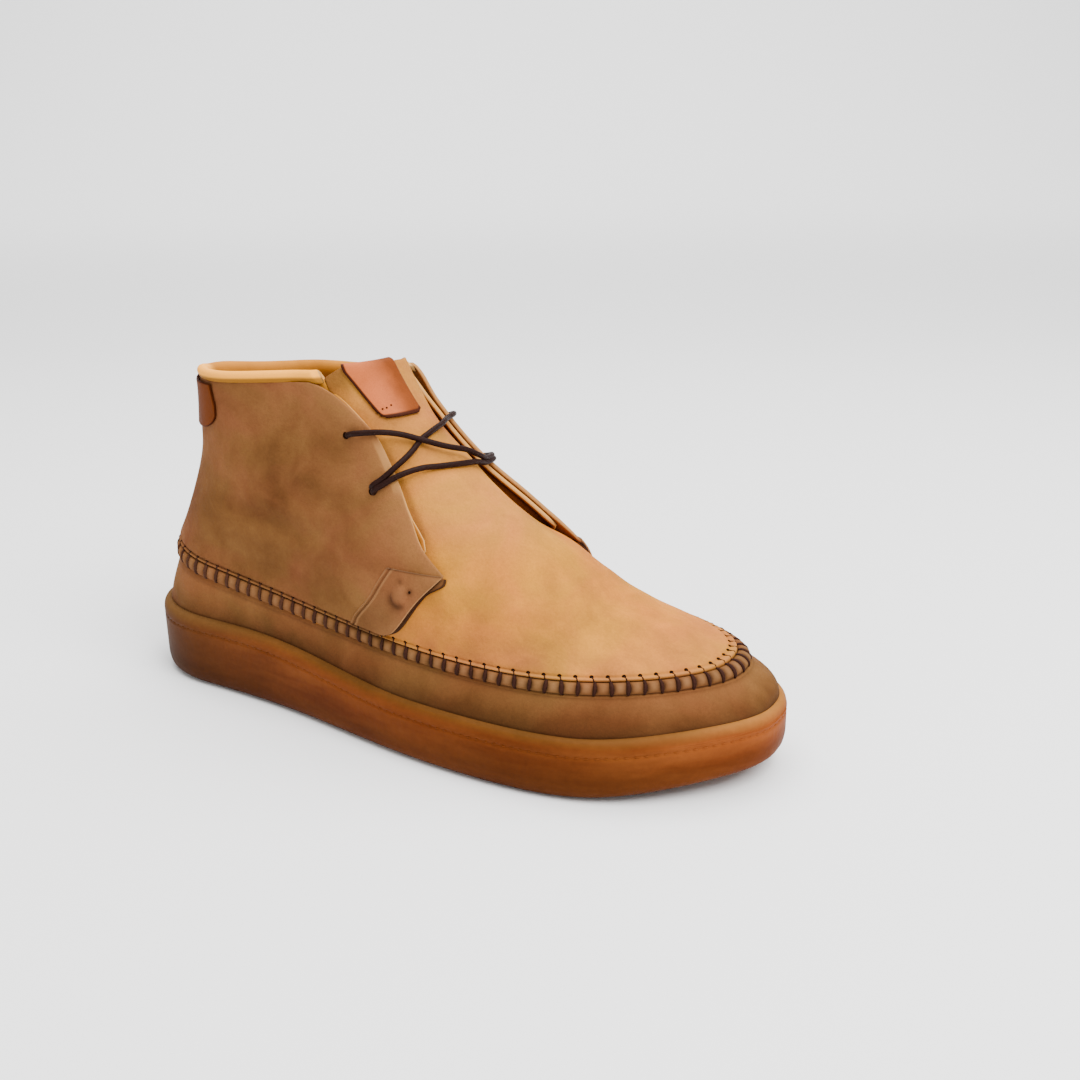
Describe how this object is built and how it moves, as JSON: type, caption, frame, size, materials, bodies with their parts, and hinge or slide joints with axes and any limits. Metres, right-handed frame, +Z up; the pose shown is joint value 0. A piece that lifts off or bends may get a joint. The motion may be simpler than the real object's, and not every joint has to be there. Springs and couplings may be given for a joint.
{
  "type": "ankle boot",
  "caption": "Ankle-high leather sneaker boot for the right foot, with lapped quarters, a raised seam around a leather rand and a thick rubber cupsole; for wearing.",
  "frame": {"origin": "on the floor, under the middle of the boot's bounding box", "axes": "+X from the heel to the toe, +Y to the inner side of the foot, +Z up from the floor"},
  "size_m": [0.3, 0.1102, 0.1557],
  "materials": {
    "gum_rubber": "warm brown gum rubber, satin",
    "footbed": "plain light leather footbed",
    "rand_leather": "waxed nubuck, darker tan",
    "waxed_nubuck": "waxed nubuck, tan, mottled",
    "tongue_nubuck": "waxed nubuck, light tan",
    "smooth_tab_leather": "smooth reddish tan leather",
    "heel_tab_leather": "smooth reddish brown leather",
    "patch_nubuck": "waxed nubuck",
    "waxed_lace": "round waxed lace, dark brown"
  },
  "bodies": {
    "root": {"sole": "gum_rubber", "insole": "footbed", "rand": "rand_leather", "upper": "waxed_nubuck", "tongue": "tongue_nubuck", "tongue_tab": "smooth_tab_leather", "heel_tab": "heel_tab_leather", "facing_patch_lateral": "patch_nubuck", "facing_patch_medial": "patch_nubuck", "lace_crossings": "waxed_lace"}
  },
  "joints": []
}
